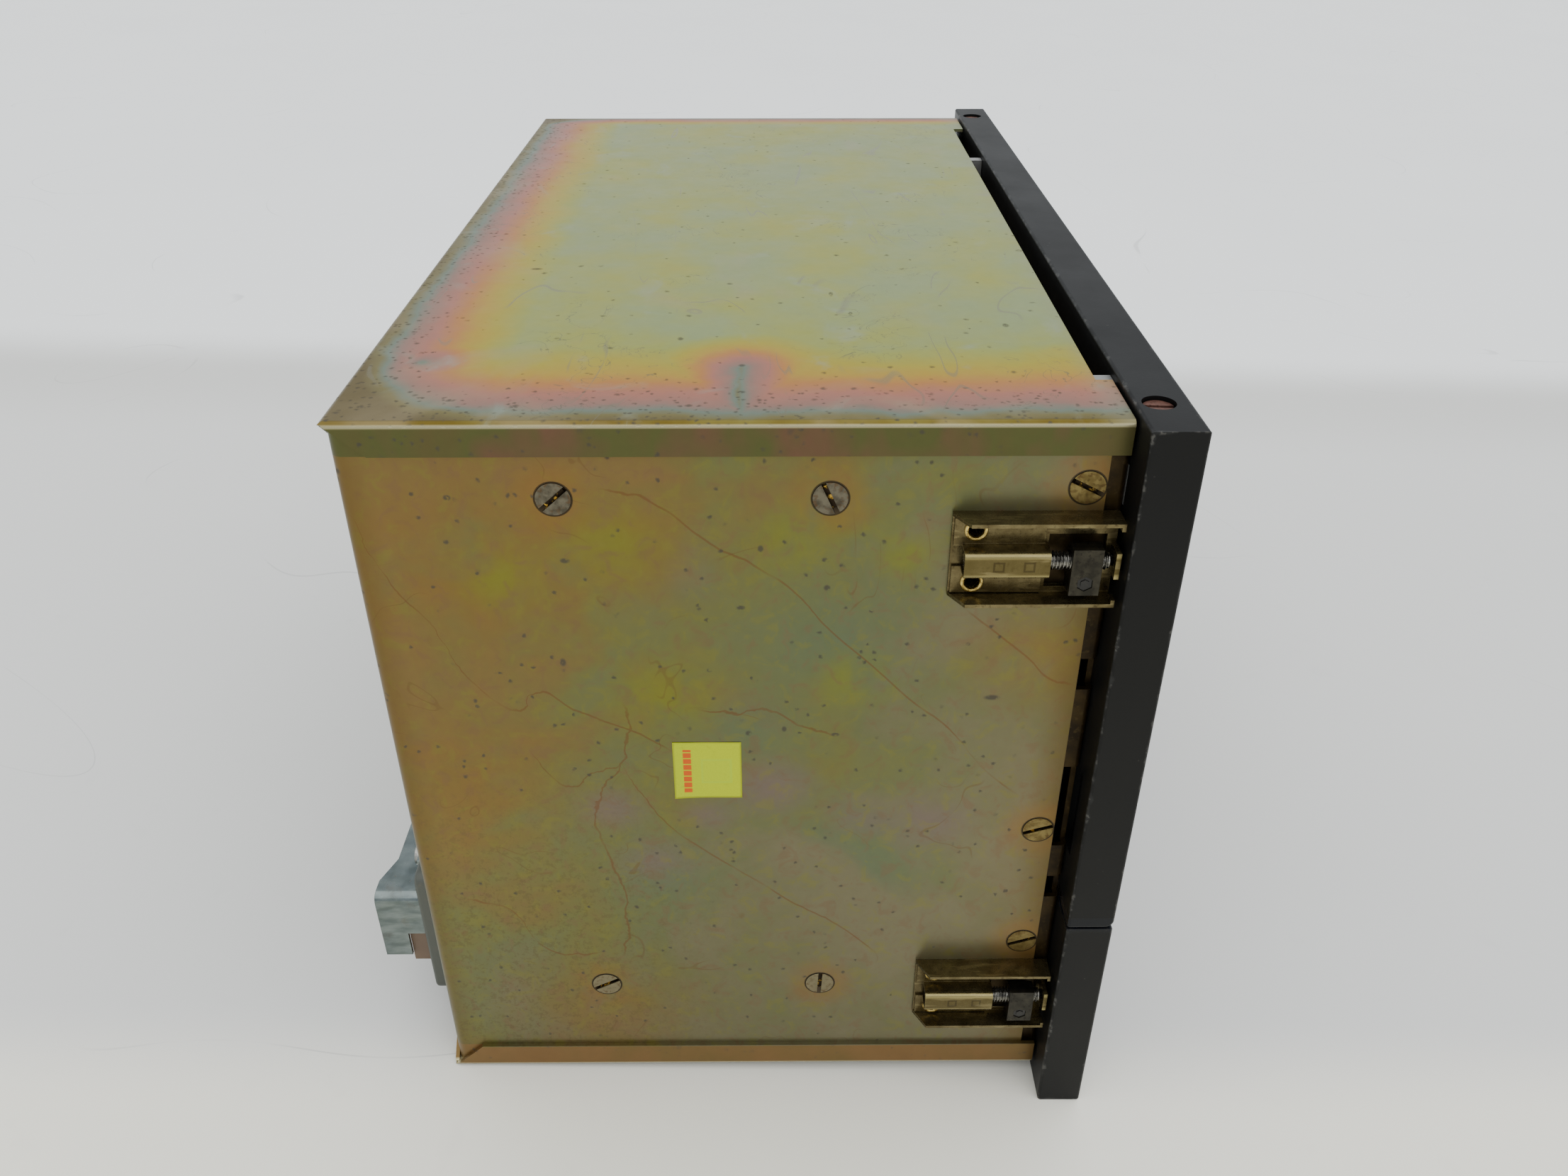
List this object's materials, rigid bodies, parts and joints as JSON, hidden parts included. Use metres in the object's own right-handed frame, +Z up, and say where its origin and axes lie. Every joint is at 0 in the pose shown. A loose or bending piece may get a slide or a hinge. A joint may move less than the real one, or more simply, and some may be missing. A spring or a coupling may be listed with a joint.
{
  "type": "panel frequency counter",
  "caption": "Panel-mount frequency counter: dark two-part front bezel, chromated sheet-steel case, screw clamps on the sides and a rear multipole connector.",
  "frame": {"origin": "centre of the panel cut-out, on the plane of the bezel's seating face", "axes": "-Y points out of the front, +X to the right of someone facing the front, +Z up"},
  "size_m": [0.288, 0.197, 0.192],
  "materials": {
    "bezel_paint": "satin charcoal paint, worn at the edges",
    "chromated_steel": "yellow chromate over zinc on sheet steel, iridescent",
    "chromated_clamp": "dull olive yellow chromate",
    "brass": "tarnished brass",
    "dark_steel": "oiled steel",
    "screw_steel": "zinc and chromate plated steel",
    "rusted_screw": "brown rusted steel",
    "zinc_plate": "bright zinc plated sheet",
    "grey_casting": "light grey die casting",
    "phenolic": "brown phenolic moulding",
    "contact_metal": "plated contact",
    "window_acrylic": "clear red acrylic, glossy",
    "gasket_rubber": "matt black rubber",
    "mask_black": "matt black sheet",
    "digit_housing": "dark red moulded digit",
    "board_laminate": "green glass fibre laminate",
    "fittings": "nickelled brass",
    "fascia": "brushed anodised plate",
    "black_plastic": "black moulded plastic",
    "grey_key": "light grey moulded key",
    "red_key": "red moulded key",
    "switch_metal": "plated switch body",
    "connector_nickel": "nickelled socket",
    "insulator": "white insulator",
    "laminations": "varnished laminated steel",
    "winding_tape": "yellow winding tape",
    "capacitor_sleeve": "blue sleeve",
    "heatsink_black": "black anodised fins",
    "oven_can": "tinned can",
    "ribbon_grey": "grey ribbon cable",
    "sticker_yellow": "fluorescent yellow paper label"
  },
  "bodies": {
    "case": {"upper_bezel": "bezel_paint", "lower_bezel": "bezel_paint", "top_cover": "chromated_steel", "bottom_cover": "chromated_steel", "case_wrap": "chromated_steel", "front_frame": "chromated_steel", "chassis_plate": "chromated_steel", "upper_rails": "chromated_steel", "lower_rails": "chromated_steel", "left_upper_bracket": "chromated_clamp", "left_lower_bracket": "chromated_clamp", "right_upper_bracket": "chromated_clamp", "right_lower_bracket": "chromated_clamp", "clamp_bridges": "chromated_clamp", "clamp_eyelets": "brass", "side_screws": "screw_steel", "hood_screws": "screw_steel", "bezel_screws": "rusted_screw", "rear_hood": "zinc_plate", "connector_frame": "grey_casting", "bezel_spacers": "grey_casting", "bezel_lugs": "grey_casting", "connector_body": "phenolic", "connector_pins": "contact_metal", "display_window": "window_acrylic", "window_gasket": "gasket_rubber", "display_mask": "mask_black", "digit_modules": "digit_housing", "display_board": "board_laminate", "supply_board": "board_laminate", "counter_board": "board_laminate", "display_standoffs": "fittings", "board_standoffs": "fittings", "control_panel": "fascia", "button_bank": "black_plastic", "power_switch": "black_plastic", "logic_chips": "black_plastic", "gate_switch": "switch_metal", "bnc_socket": "connector_nickel", "bnc_core": "insulator", "transformer_core": "laminations", "transformer_coil": "winding_tape", "supply_capacitors": "capacitor_sleeve", "regulator_heatsink": "heatsink_black", "crystal_oven": "oven_can", "display_ribbon": "ribbon_grey", "inspection_sticker": "sticker_yellow"},
    "left_upper_spindle": {"left_upper_spindle": "dark_steel"},
    "left_upper_jaw": {"left_upper_jaw": "dark_steel"},
    "left_lower_spindle": {"left_lower_spindle": "dark_steel"},
    "left_lower_jaw": {"left_lower_jaw": "dark_steel"},
    "right_upper_spindle": {"right_upper_spindle": "dark_steel"},
    "right_upper_jaw": {"right_upper_jaw": "dark_steel"},
    "right_lower_spindle": {"right_lower_spindle": "dark_steel"},
    "right_lower_jaw": {"right_lower_jaw": "dark_steel"},
    "hold_key": {"hold_button": "grey_key"},
    "reset_key": {"reset_button": "grey_key"},
    "power_key": {"power_button": "red_key"},
    "gate_control": {"gate_knob": "black_plastic", "gate_shaft": "fittings"}
  },
  "joints": [
    {"name": "left_upper_swing", "type": "hinge", "parent": "case", "child": "left_upper_spindle", "pos_m": [-0.138, 0.0072, 0.0656], "axis": [0, 1, 0], "range_deg": [0, 90]},
    {"name": "left_upper_advance", "type": "slide", "parent": "left_upper_spindle", "child": "left_upper_jaw", "axis": [0, 1, 0], "range_m": [-0.0012, 0.0038]},
    {"name": "left_lower_swing", "type": "hinge", "parent": "case", "child": "left_lower_spindle", "pos_m": [-0.138, 0.0072, -0.0619], "axis": [0, 1, 0], "range_deg": [0, 90]},
    {"name": "left_lower_advance", "type": "slide", "parent": "left_lower_spindle", "child": "left_lower_jaw", "axis": [0, 1, 0], "range_m": [-0.0012, 0.0038]},
    {"name": "right_upper_swing", "type": "hinge", "parent": "case", "child": "right_upper_spindle", "pos_m": [0.138, 0.0072, 0.0656], "axis": [0, -1, 0], "range_deg": [0, 90]},
    {"name": "right_upper_advance", "type": "slide", "parent": "right_upper_spindle", "child": "right_upper_jaw", "axis": [0, 1, 0], "range_m": [-0.0012, 0.0038]},
    {"name": "right_lower_swing", "type": "hinge", "parent": "case", "child": "right_lower_spindle", "pos_m": [0.138, 0.0072, -0.0619], "axis": [0, -1, 0], "range_deg": [0, 90]},
    {"name": "right_lower_advance", "type": "slide", "parent": "right_lower_spindle", "child": "right_lower_jaw", "axis": [0, 1, 0], "range_m": [-0.0012, 0.0038]},
    {"name": "hold_press", "type": "slide", "parent": "case", "child": "hold_key", "axis": [0, 1, 0], "range_m": [0, 0.003], "stiffness_N_per_m": 250, "springref_m": -0.002},
    {"name": "reset_press", "type": "slide", "parent": "case", "child": "reset_key", "axis": [0, 1, 0], "range_m": [0, 0.003], "stiffness_N_per_m": 250, "springref_m": -0.002},
    {"name": "power_press", "type": "slide", "parent": "case", "child": "power_key", "axis": [0, 1, 0], "range_m": [0, 0.003], "stiffness_N_per_m": 300, "springref_m": -0.002},
    {"name": "gate_turn", "type": "hinge", "parent": "case", "child": "gate_control", "pos_m": [0.052, -0.012, -0.064], "axis": [0, -1, 0], "range_deg": [-75, 75]}
  ]
}
